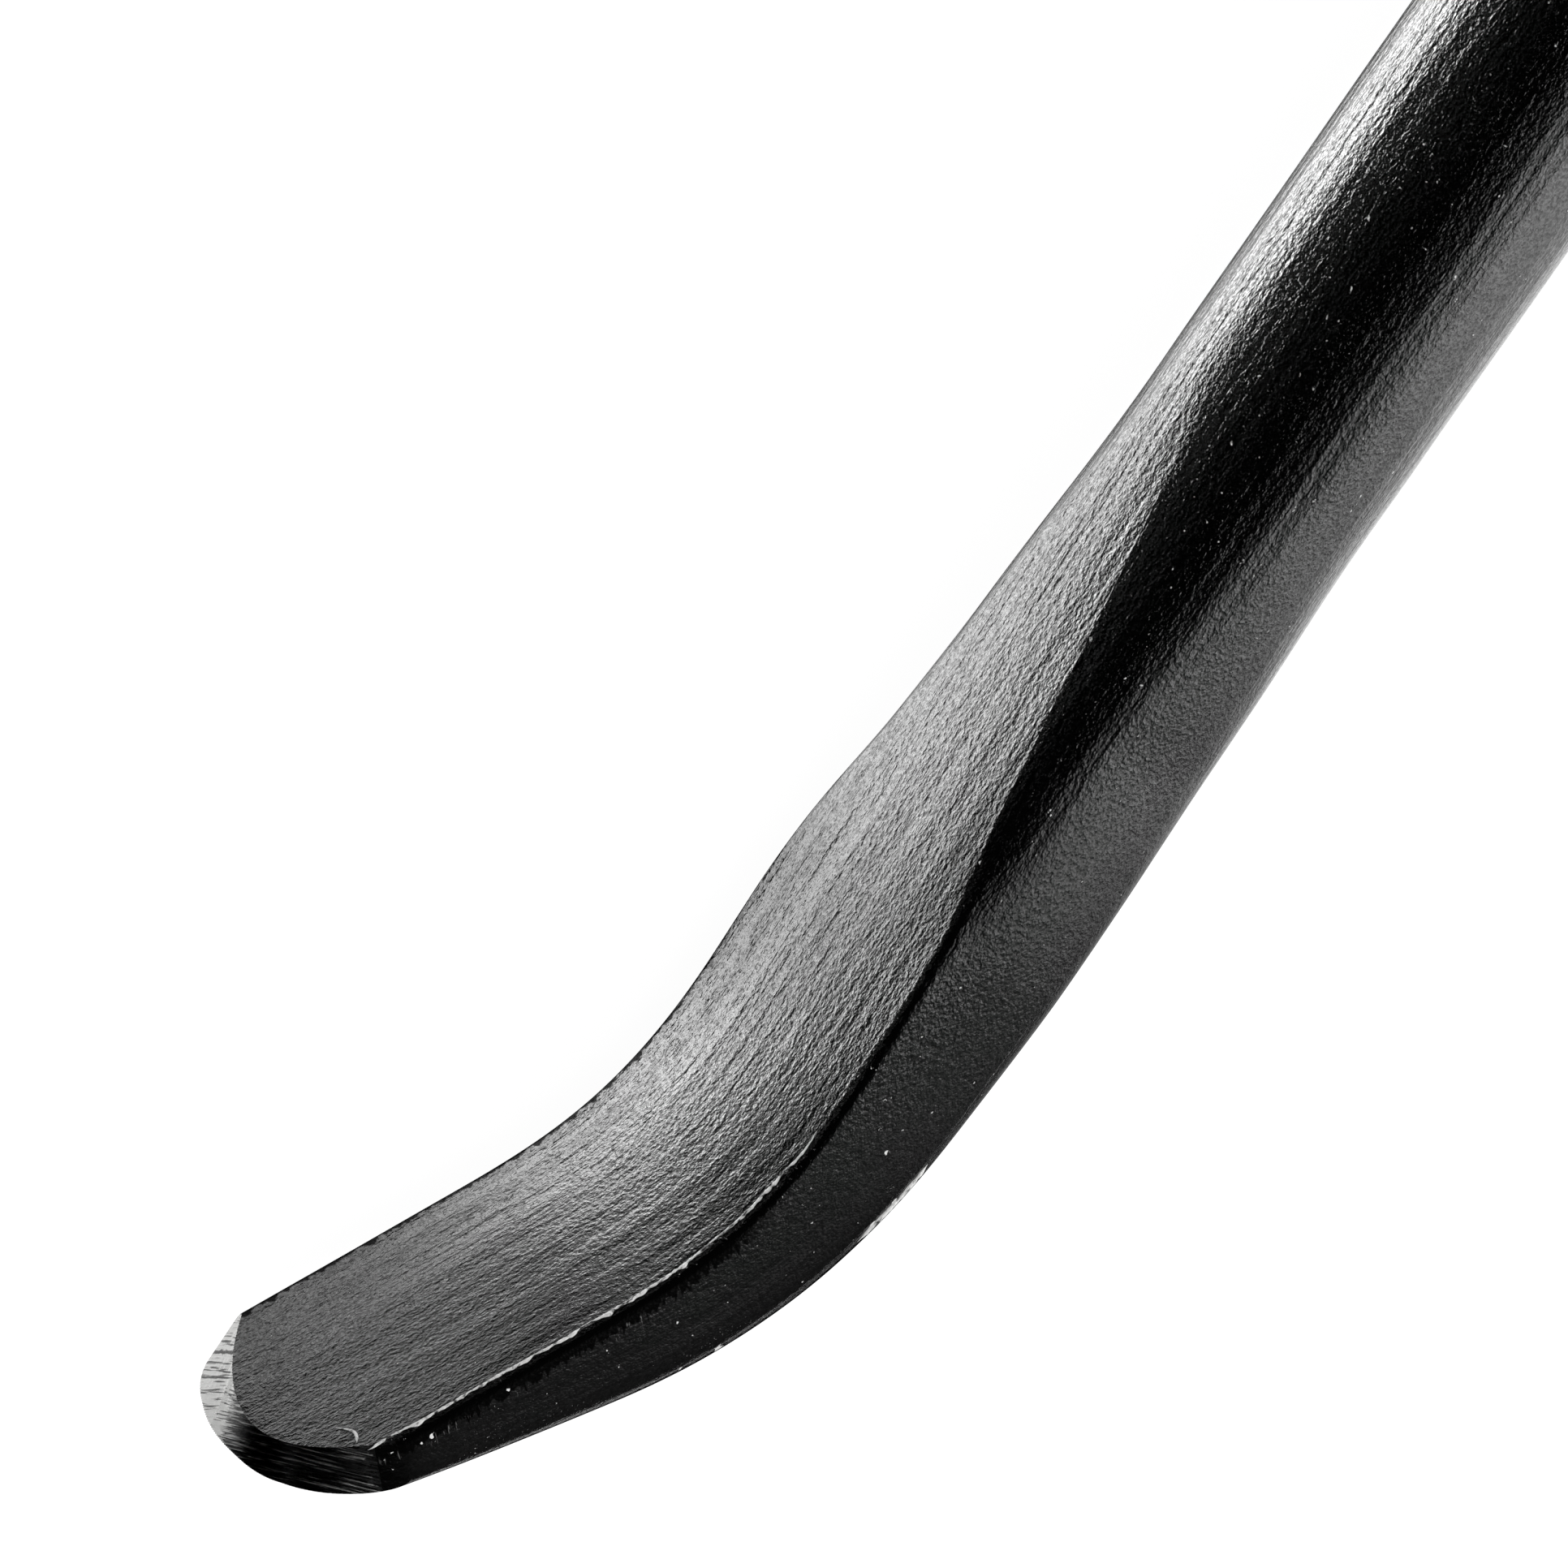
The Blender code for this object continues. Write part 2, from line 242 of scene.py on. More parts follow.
class Value:
    """A number that nodes work out at each place, and the ways to reckon with it."""

    def __init__(self, graph, socket):
        self.graph = graph
        self.socket = socket

    def combine(self, operation, other=0):
        made = self.graph.node("Math", {0: self, 1: other}, operation=operation)
        return Value(self.graph, made.outputs["Value"])

    def __add__(self, other):
        return self.combine("ADD", other)

    def __sub__(self, other):
        return self.combine("SUBTRACT", other)

    def __mul__(self, other):
        return self.combine("MULTIPLY", other)

    def __abs__(self):
        return self.combine("ABSOLUTE")

    def ramp(self, low, high, low_value=0.0, high_value=1.0):
        """Mapped from one range to another, and held at its ends."""
        inputs = {"Value": self, "From Min": low, "From Max": high, "To Min": low_value, "To Max": high_value}
        return Value(self.graph, self.graph.node("MapRange", inputs).outputs["Result"])

    def inverse(self):
        return self.ramp(0, 1, 1, 0)

    def towards(self, other, share):
        """Between this value and another one."""
        return self * share.inverse() + other * share

    def curve(self, stops):
        """Mapped by straight pieces between (value, result) stops."""
        low, high = stops[0][0], stops[-1][0]
        made = self.graph.node("ValToRGB", {"Fac": self.ramp(low, high)})
        elements = made.color_ramp.elements
        while len(elements) < len(stops):
            elements.new(0.5)
        peak = max(result for _, result in stops)
        for element, (place, result) in zip(elements, stops):
            element.position = (place - low) / (high - low)
            element.color = (*3 * [result / peak], 1)
        return Value(self.graph, made.outputs["Color"]) * peak


def greatest(first, *others):
    for other in others:
        first = first.combine("MAXIMUM", other)
    return first


class Graph:
    """A node tree with short ways to add nodes to it."""

    def __init__(self, owner):
        owner.use_nodes = True
        self.nodes = owner.node_tree.nodes
        self.links = owner.node_tree.links

    def fill(self, node, inputs):
        """Sets each named input to a fixed value, or links it to what other nodes work out."""
        for name, source in inputs.items():
            if isinstance(source, Value):
                source = source.socket
            if isinstance(source, bpy.types.NodeSocket):
                self.links.new(source, node.inputs[name])
            else:
                node.inputs[name].default_value = source

    def node(self, kind, inputs=None, **settings):
        made = self.nodes.new("ShaderNode" + kind)
        for name, value in settings.items():
            setattr(made, name, value)
        self.fill(made, inputs or {})
        return made

    def split(self, vector):
        parts = self.node("SeparateXYZ", {"Vector": vector}).outputs
        return [Value(self, part) for part in parts]

    def seen_directly(self):
        """1 for camera, glossy and transmission rays, which are to meet a white background."""
        path = self.node("LightPath").outputs
        rays = "Is Camera Ray", "Is Glossy Ray", "Is Transmission Ray"
        return greatest(*[Value(self, path[ray]) for ray in rays])


class Surface(Graph):
    """A Principled material. Its patterns lie on the object, or on the bar laid out straight.

    A pattern's size is in metres, a number or one for each axis: on the straight bar along it,
    across it and square to the face.
    """

    def __init__(self, name, inputs, follows_bends=False):
        self.material = bpy.data.materials.new(name)
        super().__init__(self.material)
        self.shader = self.nodes["Principled BSDF"]
        self.use(inputs)
        self.place = self.stored(STRAIGHT_PLACE) if follows_bends else self.node("TexCoord").outputs["Object"]

    def use(self, inputs):
        self.fill(self.shader, inputs)

    def stored(self, name):
        return self.node("Attribute", attribute_name=name).outputs["Vector"]

    def laid(self, size, square_to=None):
        """The place counted in grains of a size, whose first axis may lie in a given direction."""
        inputs = {"Vector": self.place, "Scale": size if isinstance(size, tuple) else 3 * (size,)}
        if square_to:
            inputs["Rotation"] = Vector(square_to).to_track_quat("X", "Z").to_euler()
        return self.node("Mapping", inputs, vector_type="TEXTURE").outputs["Vector"]

    def noise(self, size, detail=2.0, square_to=None):
        """A grain from 0 to 1."""
        inputs = {"Vector": self.laid(size, square_to), "Scale": 1.0, "Detail": detail}
        return Value(self, self.node("TexNoise", inputs).outputs["Fac"])

    def wander(self, size, reach, detail=4):
        """A grain that runs from minus a reach to plus that reach."""
        return self.noise(size, detail).ramp(*GRAIN_RANGE, -reach, reach)

    def cells(self, size):
        """Distance to the nearest of points that are scattered about a size apart, in that size."""
        inputs = {"Vector": self.laid(size), "Scale": 1.0}
        return Value(self, self.node("TexVoronoi", inputs).outputs["Distance"])

    def measure(self, operation, point):
        """What a vector operation gives between the place and a fixed point."""
        made = self.node("VectorMath", {0: self.place, 1: point}, operation=operation)
        return Value(self, made.outputs["Value"])

    def blend(self, share, first, second):
        """Between two colours."""
        inputs = {0: share, FIRST_COLOUR: first, SECOND_COLOUR: second}
        return self.node("Mix", inputs, data_type="RGBA").outputs[MIXED_COLOUR]

    def bump(self, layers):
        """Chains bump nodes: each layer is a height, and the depth in metres that 1 stands for."""
        normal = None
        for height, depth in layers:
            inputs = {"Height": height, "Distance": depth}
            if normal:
                inputs["Normal"] = normal
            normal = self.node("Bump", inputs).outputs["Normal"]
        self.use({"Normal": normal})
        return normal

    def grain(self, size, detail, roughness, depth):
        """An even grain that shows in the roughness and in the relief."""
        grain = self.noise(size, detail)
        self.use({"Roughness": grain.ramp(*GRAIN_RANGE, *roughness)})
        self.bump([(grain, depth)])


# The enamel

PAINT = 0.001, 0.001, 0.001, 1
PRIMER = 0.85, 0.85, 0.84, 1
STEEL = 0.55, 0.55, 0.54, 1
COAT_IOR = 1.95

# The middle part of a noise, where most of its values lie
GRAIN_RANGE = 0.3, 0.7

# Distances below the face's level: where its grain gives way to the side's, and where the near
# side's dulling and the painted shadow under the burr start
FACE_ENDS = 0.0003, 0.0007
SIDE_STARTS = 0.0001, 0.0003

# How much of the grain is left on the bar's smoother side, away from the face
SMOOTH_SHARE = 0.32

# Sizes of the paint's patterns
DRAWN_LINES = 0.06, 0.0016, 0.0016
STREAKS = 0.03, 0.0006, 0.0006
LUMPS = 0.0018, 0.0009, 0.0009
GRAIN = 0.00046, 0.00036, 0.00036
FINER_GRAIN = 0.00044, 0.00027, 0.00027
FINEST_GRAIN = 0.0002, 0.00014, 0.00014
SCRATCHES = 0.0022, 0.0002, 0.0002
SCRATCHES_ALONG = 0.4, 1, 0.2
SCRATCHED_PLACES = 0.007, 0.005, 0.005
SPECK_SPACING = 0.0022
SPECK_PLACES = 0.006, 0.004, 0.004

# How far the claw's points are worn bare, and how unevenly
CLAW_WEAR = 0.008
CLAW_WEAR_RAGGED = 0.005

# Chips in the paint: place (along, across, towards the face) on the straight bar, and reach
CHIPS = (
    ((0.0672, 0.0107, -0.0047), 0.0006),
    ((0.0690, 0.0107, -0.0046), 0.0006),
    ((0.0712, 0.0107, -0.0045), 0.0006),
    ((0.0844, 0.0106, -0.0040), 0.0006),
    ((0.1079, 0.0109, 0.0015), 0.0004),
    ((0.1087, 0.0109, 0.0014), 0.00035),
)

# Lines along the shank's face side and along the blade's face: place across, half width, rise
SEAMS = (-0.0019, 0.0004, 1.0), (-0.0007, 0.0004, -1.0), (-0.0038, 0.0003, -0.5)
FACE_RIDGES = (-0.0046, 0.0013, 1.0), (-0.0062, 0.0005, 1.0), (-0.0088, 0.0007, 1.0)

# Where a point lies on the bar laid out straight, and from the edges of the blade's face
BarPlace = namedtuple("BarPlace", "along across towards_face below_face from_far_edge")


def black_enamel():
    """Gloss black paint over forged steel, chipped and scuffed in places, with painted shade: a dark strip
    under the burr and less gloss before the bend.
    """
    surface = Surface("black_enamel", {
        "Roughness": 0.2,
        "Specular IOR Level": 0.06,
        "Coat IOR": COAT_IOR,
        "Coat Roughness": 0.085,
    }, follows_bends=True)
    edge_place = surface.split(surface.stored(EDGE_PLACE))
    at = BarPlace(*surface.split(surface.place), *edge_place[:2])
    finer = greatest(at.along.ramp(0.080, 0.105), at.below_face.ramp(*FACE_ENDS))
    grain = surface.noise(GRAIN, 3).towards(surface.noise(FINER_GRAIN, 3), finer)
    finest = surface.noise(FINEST_GRAIN)
    ridges = face_ridges(surface, at)
    surface.use({"Coat Normal": enamel_relief(surface, at, grain, finest, ridges)})
    bare = greatest(specks(surface), claw_wear(surface))
    # The burr's shadow is painted in: a dark strip without gloss under the lip.
    burr_shadow, scuffs = painted_shadow_under_burr(surface, at)
    pale = greatest(chips(surface), scuffs)
    gloss = (grain + finest).ramp(0.86, 1.14, 0.55, 1.0) * burr_shadow
    gloss = (gloss + ridges * 0.35).ramp(0, 1) * dulling_and_painted_shade(surface, at)
    surface.use({
        "Base Color": surface.blend(pale, surface.blend(bare, PAINT, STEEL), PRIMER),
        "Metallic": bare,
        "Coat Weight": gloss * greatest(bare, pale).inverse(),
    })
    return surface.material


def enamel_relief(surface, at, grain, finest, ridges):
    """The paint's relief: calmer away from the face, and on the near half of the blade."""
    near_half = at.across.ramp(-0.001, 0.006) * at.along.ramp(0.055, 0.068)
    calm = near_half.ramp(0, 1, 1, 0.55)
    rough = calm * greatest(
        at.towards_face.ramp(-0.0005, 0.0075, SMOOTH_SHARE, 1),
        at.below_face.ramp(*FACE_ENDS, 1, SMOOTH_SHARE),
    )
    far_half = at.across.ramp(-0.006, 0.001, 1, 0.25) * at.along.ramp(0.085, 0.105, 1, 0.5)
    scratches = surface.noise(SCRATCHES, 1, SCRATCHES_ALONG).ramp(0.70, 0.74)
    scratched = surface.noise(SCRATCHED_PLACES, 1).ramp(0.52, 0.56)
    return surface.bump([
        (surface.noise(DRAWN_LINES, 3) * calm, 0.0002),
        (seams(surface, at), 0.00007),
        (ridges, 0.00004),
        (surface.noise(STREAKS) * far_half, 0.00017),
        ((surface.noise(LUMPS) - 0.5) * rough, 0.00008),
        ((grain - 0.5) * rough, 0.00015),
        (scratches * scratched, 0.00003),
        (finest, 0.000022),
    ])


def lines_along(across, lines):
    """Low ridges and grooves along the bar, each a (place across, half width, rise)."""
    height = 0
    for place, half_width, rise in lines:
        height = abs(across - place).ramp(0, half_width, 1, 0) * rise + height
    return height


def seams(surface, at):
    """A low ridge with a groove on each side, left by the rolls on the shank's face side."""
    across = at.across + surface.wander((0.016, 1, 1), 0.0005, detail=3)
    on_face_side = at.towards_face.ramp(0.004, 0.005)
    before_flat = at.along.ramp(0.022, 0.034, 1, 0)
    return lines_along(across, SEAMS) * (on_face_side * before_flat)


def face_ridges(surface, at):
    """Low ridges drawn out along the far half of the blade's face."""
    across = at.across + surface.wander((0.02, 1, 1), 0.0006)
    on_face = at.below_face.ramp(*FACE_ENDS, 1, 0)
    on_blade = at.along.ramp(0.035, 0.060) * at.along.ramp(0.100, 0.112, 1, 0)
    return lines_along(across, FACE_RIDGES) * (on_face * on_blade)


def dulling_and_painted_shade(surface, at):
    """The gloss left by wear along the far edge and heat beside the ground end, and painted shade: less gloss
    on the near side before the bend.
    """
    from_edge = at.from_far_edge + surface.wander((0.0011, 1, 1), 0.0005)
    worn = from_edge.ramp(0.0008, 0.001, 1, 0) * at.along.ramp(0.055, 0.070)
    near_side = at.across.ramp(0.006, 0.007) * at.below_face.ramp(*SIDE_STARTS)
    heat = at.along.ramp(0.1075, 0.1120, 0, 0.85) * near_side
    # Painted shade: the near side before the bend loses gloss, so that it reads darker there.
    painted_shade_before_bend = at.along.ramp(0.033, 0.040) * at.along.ramp(0.046, 0.055, 0.34, 0) * at.across.ramp(0.004, 0.007)
    return greatest(worn, heat, painted_shade_before_bend).inverse()


def painted_shadow_under_burr(surface, at):
    """Painted shadow under the burr: a dark strip without gloss, with a ragged lower limit, and short scuffs
    down from it.

    The first value is the gloss that the painted shadow leaves, the second is how far a scuff shows the
    primer.
    """
    by_burr = at.along.ramp(0.072, 0.080) * at.across.ramp(0.008, 0.009) * at.below_face.ramp(*SIDE_STARTS)
    ragged = surface.noise((0.00045, 1, 0.0012), 4).ramp(*GRAIN_RANGE, 0.0003, -0.0010)
    # Painted shadow: a strip under the burr without gloss, dark as the shade under the lip.
    burr_shadow = (at.below_face + ragged).ramp(0.0008, 0.0011, 1, 0) * by_burr
    strokes = surface.noise((0.00022, 1, 0.0012), 3).ramp(0.60, 0.70)
    places = surface.noise((0.004, 1, 0.01), 1).ramp(0.48, 0.56)
    band = at.below_face.ramp(0.0009, 0.0012) * at.below_face.ramp(0.0014, 0.0021, 1, 0)
    return burr_shadow.inverse(), strokes * places * (band * by_burr) * 0.22


def specks(surface):
    """Points where the paint has missed the steel, here and there in groups."""
    points = surface.cells(SPECK_SPACING).ramp(0.010, 0.021, 1, 0)
    return points * surface.noise(SPECK_PLACES, 1).ramp(0.68, 0.73)


def chips(surface):
    """Where the paint is chipped off to its primer: small ragged places, each round a point."""
    ragged = surface.noise((0.0006, 0.0005, 0.0005), 3)
    found = []
    for place, reach in CHIPS:
        near = surface.measure("DISTANCE", place).ramp(0, reach, 0.55, 0)
        found.append((near + ragged).ramp(0.72, 0.76))
    return greatest(*found)


def claw_wear(surface):
    """Bare steel at the claw's two points, where nails and boards have rubbed the paint away."""
    from_end = surface.split(surface.place)[0] + (SHANK_LENGTH + HOOK_LENGTH)
    ragged = surface.noise((0.003, 0.0016, 0.0016), 5) * CLAW_WEAR_RAGGED
    return (from_end + ragged).ramp(CLAW_WEAR, CLAW_WEAR * 1.15, 1, 0)


# The bare steel, the rubber and the plastic

SCORCHED = 0.05, 0.05, 0.05, 1
GROUND_BRIGHT = 0.68, 0.68, 0.67, 1
GROUND_GLINT = 0.8, 0.8, 0.79, 1
TORN_DARK = 0.04, 0.04, 0.04, 1
# Near white: bare steel with a painted highlight, for the light that the torn lip catches
BARE_STEEL_GLINT = 0.97, 0.97, 0.96, 1
RUBBER_DARK = 0.012, 0.012, 0.013, 1
RUBBER_PALE = 0.024, 0.024, 0.025, 1
PLASTIC = 0.03, 0.031, 0.033, 1

# The belt's lines on the ground end: their size, what they lie square to, and the one deep nick
BELT_LINES = 0.00017, 0.004, 0.004
BEVEL_LINES_ACROSS = -0.81, -0.36, -0.46
END_LINES_ACROSS = -0.92, -0.20, -0.34
NICK_LEVEL = 0.0732

# Heights, from the bar's middle, where the belt turned and where the bright bevel ends
BELT_TURNS = -0.0052, -0.0044
BEVEL_ENDS = -0.0031, -0.0026


def ground_tip():
    """Bare ground steel: bright on the bevel, and darkened by heat beside it, where the belt turned."""
    surface = Surface("ground_tip", {"Coat IOR": COAT_IOR, "Coat Roughness": 0.1})
    height = surface.split(surface.place)[2] - FACE_START.z
    beside = (height + surface.wander(0.0012, 0.0012, detail=3)).ramp(*BELT_TURNS)
    end_lines = surface.noise(BELT_LINES, 4, END_LINES_ACROSS)
    lines = surface.noise(BELT_LINES, 4, BEVEL_LINES_ACROSS).towards(end_lines, beside)
    on_bevel = surface.blend(lines.ramp(0.39, 0.46) * belt_nick(surface), SCORCHED, GROUND_BRIGHT)
    on_end = surface.blend(lines.ramp(0.53, 0.64), SCORCHED, GROUND_GLINT)
    darkened = (height + lines.ramp(*GRAIN_RANGE, -0.0016, 0.0016)).ramp(*BEVEL_ENDS)
    steel = surface.blend(darkened, on_bevel, on_end)
    along, across, _ = surface.split(surface.stored(STRAIGHT_PLACE))
    from_ground = along + surface.wander((0.0008, 0.0005, 0.0005), 0.0005) - GROUND_FROM
    paint_left = from_ground.ramp(0.0006, 0.0010, 1, 0) * across.ramp(0, 0.001)
    bare = paint_left.inverse()
    surface.use({
        "Base Color": surface.blend(bare, PAINT, steel),
        "Roughness": lines.ramp(*GRAIN_RANGE, 0.2, 0.36),
        "Metallic": bare,
        "Coat Weight": paint_left,
    })
    surface.bump([(lines, 0.00006)])
    return surface.material


def belt_nick(surface):
    """0 in the one deep nick that the belt left across the bevel, 1 beside it."""
    start = Vector(BEVEL_LINES_ACROSS).dot(FACE_START)
    ragged = surface.wander(0.0006, 0.00008, detail=3)
    level = surface.measure("DOT_PRODUCT", BEVEL_LINES_ACROSS) + ragged + (NICK_LEVEL - start)
    return abs(level).ramp(0.00010, 0.00018)


def bare_steel_and_glint():
    """Freshly torn bare steel, as on the burr along the blade's edge, lightened towards white as a painted
    highlight of the light that the lip catches.
    """
    surface = Surface("bare_steel_and_glint", {"Metallic": 0.1})
    stain = surface.noise((0.0009, 0.0004, 0.0004), 3).ramp(0.36, 0.5)
    surface.use({"Base Color": surface.blend(stain, TORN_DARK, BARE_STEEL_GLINT)})
    surface.grain(0.0002, 3, (0.28, 0.5), 0.00008)
    return surface.material


def grip_rubber():
    surface = Surface("grip_rubber", {})
    surface.use({"Base Color": surface.blend(surface.noise(0.017, 3), RUBBER_DARK, RUBBER_PALE)})
    surface.grain(0.0004, 2, (0.62, 0.82), 0.00006)
    return surface.material


def grip_plastic():
    surface = Surface("grip_plastic", {"Base Color": PLASTIC})
    surface.grain(0.0005, 2, (0.34, 0.52), 0.00003)
    return surface.material


# The bar's path and sections

def direction(heading):
    return Vector((math.cos(heading), math.sin(heading), 0))


def face_side(heading):
    """The direction square to the path that is -Y on the shank, for a path that runs towards +X."""
    return Vector((math.sin(heading), -math.cos(heading), 0))


def walk(length, spacing, heading_at, start):
    """Distance, centre and heading at even stations along a path in the XY plane."""
    stations = math.ceil(length / spacing)
    steps = math.ceil(length / stations / PATH_STEP)
    step = length / stations / steps
    centre = start.copy()
    found = [(0, centre.copy(), heading_at(0))]
    for index in range(1, stations * steps + 1):
        centre += step * direction(heading_at((index - 0.5) * step))
        if index % steps == 0:
            found.append((index * step, centre.copy(), heading_at(index * step)))
    return found


def chisel_heading(along):
    sweep = CHISEL_SWEEP * min(along / CHISEL_SWEEP_LENGTH, 1)
    return -sweep - CHISEL_BEND * ease(along, *CHISEL_BENDS)


def hook_heading(along):
    return math.pi - HOOK_BEND * ease(along, 0, HOOK_BEND_LENGTH)


def walk_chisel(length, spacing=BLADE_SPACING):
    return walk(length, spacing, chisel_heading, FACE_START)


def walk_hook(length):
    return walk(length, HOOK_SPACING, hook_heading, HOOK_START)


def stations_towards_chisel(beyond=0):
    """Distance from the face's start, centre and heading along the whole bar, hook first."""
    found = []
    for along, centre, heading in reversed(walk_hook(HOOK_LENGTH + beyond)):
        found.append((-SHANK_LENGTH - along, centre, heading + math.pi))
    for along, centre, heading in walk(SHANK_LENGTH, SHANK_SPACING, lambda along: 0.0, HOOK_START)[1:-1]:
        found.append((along - SHANK_LENGTH, centre, heading))
    return found + walk_chisel(CHISEL_LENGTH + beyond)


class Section(namedtuple("Section", "half_width face heel squareness crown cornered", defaults=(0, 0))):
    """One cross-section: its half width, heights of face and heel, squareness, crown and corners."""

    def side_at(self, share):
        """Half width of the rounded side at a share of the heel's depth."""
        return self.half_width * max(1 - share**self.squareness, 0) ** (1 / self.squareness)

    def across_at(self, height):
        """Half width at a height between the middle and the face."""
        into_corner = max(height - self.face + CORNER_RADIUS, 0)
        cut = CORNER_RADIUS - math.sqrt(max(CORNER_RADIUS**2 - into_corner**2, 0))
        rounded_side = self.side_at(height / self.heel)
        return rounded_side * (1 - self.cornered) + (self.half_width - cut) * self.cornered

    def face_level(self):
        """The height of the crease, a little under the top where the section is still round."""
        round_top = self.heel * math.sin(math.pi / 2 - CREASE_TURN) ** (2 / self.squareness)
        return self.face if self.cornered == 1 else min(self.face, round_top)

    def outline(self):
        """Points (across, height): the near side, the heel, the far side, then back over the face."""
        level = self.face_level()
        heights = [level * math.sin(math.pi / 2 * (1 - index / SIDE_POINTS)) for index in range(SIDE_POINTS)]
        near = [(self.across_at(height), height) for height in heights]
        power = 2 / self.squareness
        heel = []
        for index in range(HEEL_POINTS + 1):
            angle = -math.pi * index / HEEL_POINTS
            across = self.half_width * signed_power(math.cos(angle), power)
            heel.append((across, self.heel * signed_power(math.sin(angle), power)))
        far = [(-across, height) for across, height in reversed(near)]
        crease = near[0][0]
        face = []
        for index in range(1, FACE_POINTS):
            across = -crease * math.cos(math.pi * index / FACE_POINTS)
            rise = min(self.crown, max(self.heel - self.face, 0)) * (1 - (across / crease) ** 2)
            face.append((across, level + rise))
        return near + heel + far + face


def chisel_section(along):
    share = min(max(along, 0) / CHISEL_LENGTH, 1)
    half_width = BAR_RADIUS + (CHISEL_WIDTH / 2 - BAR_RADIUS) * ease(along, *CHISEL_WIDENS)
    face = BAR_RADIUS - (BAR_RADIUS - FACE_AT_TIP) * share**FACE_TAPER_POWER
    hollow = HEEL_HOLLOW * math.sin(math.pi * share) ** 2
    heel = BAR_RADIUS - (BAR_RADIUS - HEEL_AT_TIP) * share**HEEL_TAPER_POWER - hollow
    squareness = 2 + (CHISEL_SQUARENESS - 2) * ease(along, *CHISEL_SQUARES)
    crown = FACE_CROWN * (1 - ease(along, *CROWN_FADES))
    return Section(half_width, face, heel, squareness, crown, ease(along, *CORNER_FORMS))


def claw_section(along):
    rough_half_width = CLAW_WIDTH / 2 + CLAW_SIDE_STOCK
    half_width = BAR_RADIUS + (rough_half_width - BAR_RADIUS) * ease(along, *CLAW_WIDENS)
    share = min(max(along - CLAW_THINS_FROM, 0) / (HOOK_LENGTH - CLAW_THINS_FROM), 1)
    depth = BAR_RADIUS - (BAR_RADIUS - CLAW_TIP_THICKNESS / 2) * share**CLAW_TAPER_POWER
    squareness = 2 + (CLAW_SQUARENESS - 2) * ease(along, *CLAW_SQUARES)
    return Section(half_width, depth, depth, squareness)


def signed_power(value, power):
    return math.copysign(abs(value) ** power, value)


def forged_wave(place):
    """The slow unevenness of a forged and drawn bar, as a height."""
    return FORGING_WAVE * noise.noise(place / FORGING_WAVELENGTH)


def on_bar(place, centre):
    """The place moved outwards or inwards by the forged unevenness there."""
    return place + forged_wave(place) * (place - centre).normalized()


def ring(centre, upward, section):
    places = [centre + across * WIDTH_AXIS + height * upward for across, height in section.outline()]
    return [on_bar(place, centre) for place in places]


def bar_rings():
    rings = []
    for station, centre, heading in stations_towards_chisel(END_STOCK):
        on_hook = station <= -SHANK_LENGTH
        section = claw_section(-SHANK_LENGTH - station) if on_hook else chisel_section(station)
        rings.append(ring(centre, face_side(heading), section))
    return rings


def skin(shape, rows):
    """Faces between each two rows of points, each of which runs round a closed section."""
    for row, following in zip(rows, rows[1:]):
        for index, vert in enumerate(row):
            after = (index + 1) % len(row)
            shape.faces.new((vert, following[index], following[after], row[after]))


def loft(name, rings, *surfaces):
    shape = bmesh.new()
    rows = [[shape.verts.new(point) for point in points] for points in rings]
    skin(shape, rows)
    shape.faces.new(rows[0])
    shape.faces.new(reversed(rows[-1]))
    return add_shape(name, shape, *surfaces)


# The bar's ground ends

def arc(centre, radius, start, end):
    """Points of a flat arc, its ends included."""
    angles = [start + (end - start) * index / ARC_STEPS for index in range(ARC_STEPS + 1)]
    return [(centre[0] + radius * math.cos(a), centre[1] + radius * math.sin(a)) for a in angles]


def end_line(reach, reach_at, draw_back, power):
    """Points (along, across) of the ground end at one level, from the near side to the far side."""
    side = CHISEL_WIDTH / 2 + TIP_OVERHANG
    line = []
    for index in range(TIP_POINTS + 1):
        across = side - 2 * side * index / TIP_POINTS
        which = 0 if across > reach_at else 1
        width = abs(math.copysign(CHISEL_WIDTH / 2, across - reach_at) - reach_at)
        share = abs(across - reach_at) / width
        line.append((reach - draw_back[which] * share ** power[which], across))
    return line


def tip_cutter(surface):
    """The space beyond the chisel's end, which is ground round and leans out towards the heel."""
    _, centre, heading = walk_chisel(CHISEL_LENGTH)[-1]
    upward = face_side(heading)
    forward = direction(heading)
    on_face = end_line(FACE_REACH, FACE_REACH_AT, FACE_DRAW_BACK, FACE_DRAW_POWER)
    on_heel = end_line(HEEL_REACH, HEEL_REACH_AT, HEEL_DRAW_BACK, HEEL_DRAW_POWER)
    low, high = [], []
    for (face_along, across), (heel_along, _) in zip(on_face, on_heel):
        on_edge = centre + face_along * forward + across * WIDTH_AXIS + FACE_AT_TIP * upward
        under_edge = centre + heel_along * forward + across * WIDTH_AXIS - HEEL_AT_TIP * upward
        low.append(on_edge + (under_edge - on_edge) * TIP_CUT_BEYOND)
        high.append(under_edge + (on_edge - under_edge) * TIP_CUT_BEYOND)
    for points in (low, high):
        points += [points[-1] + 2 * CUT_BEYOND * forward, points[0] + 2 * CUT_BEYOND * forward]
    return loft("tip_cutter", [low, high], surface)


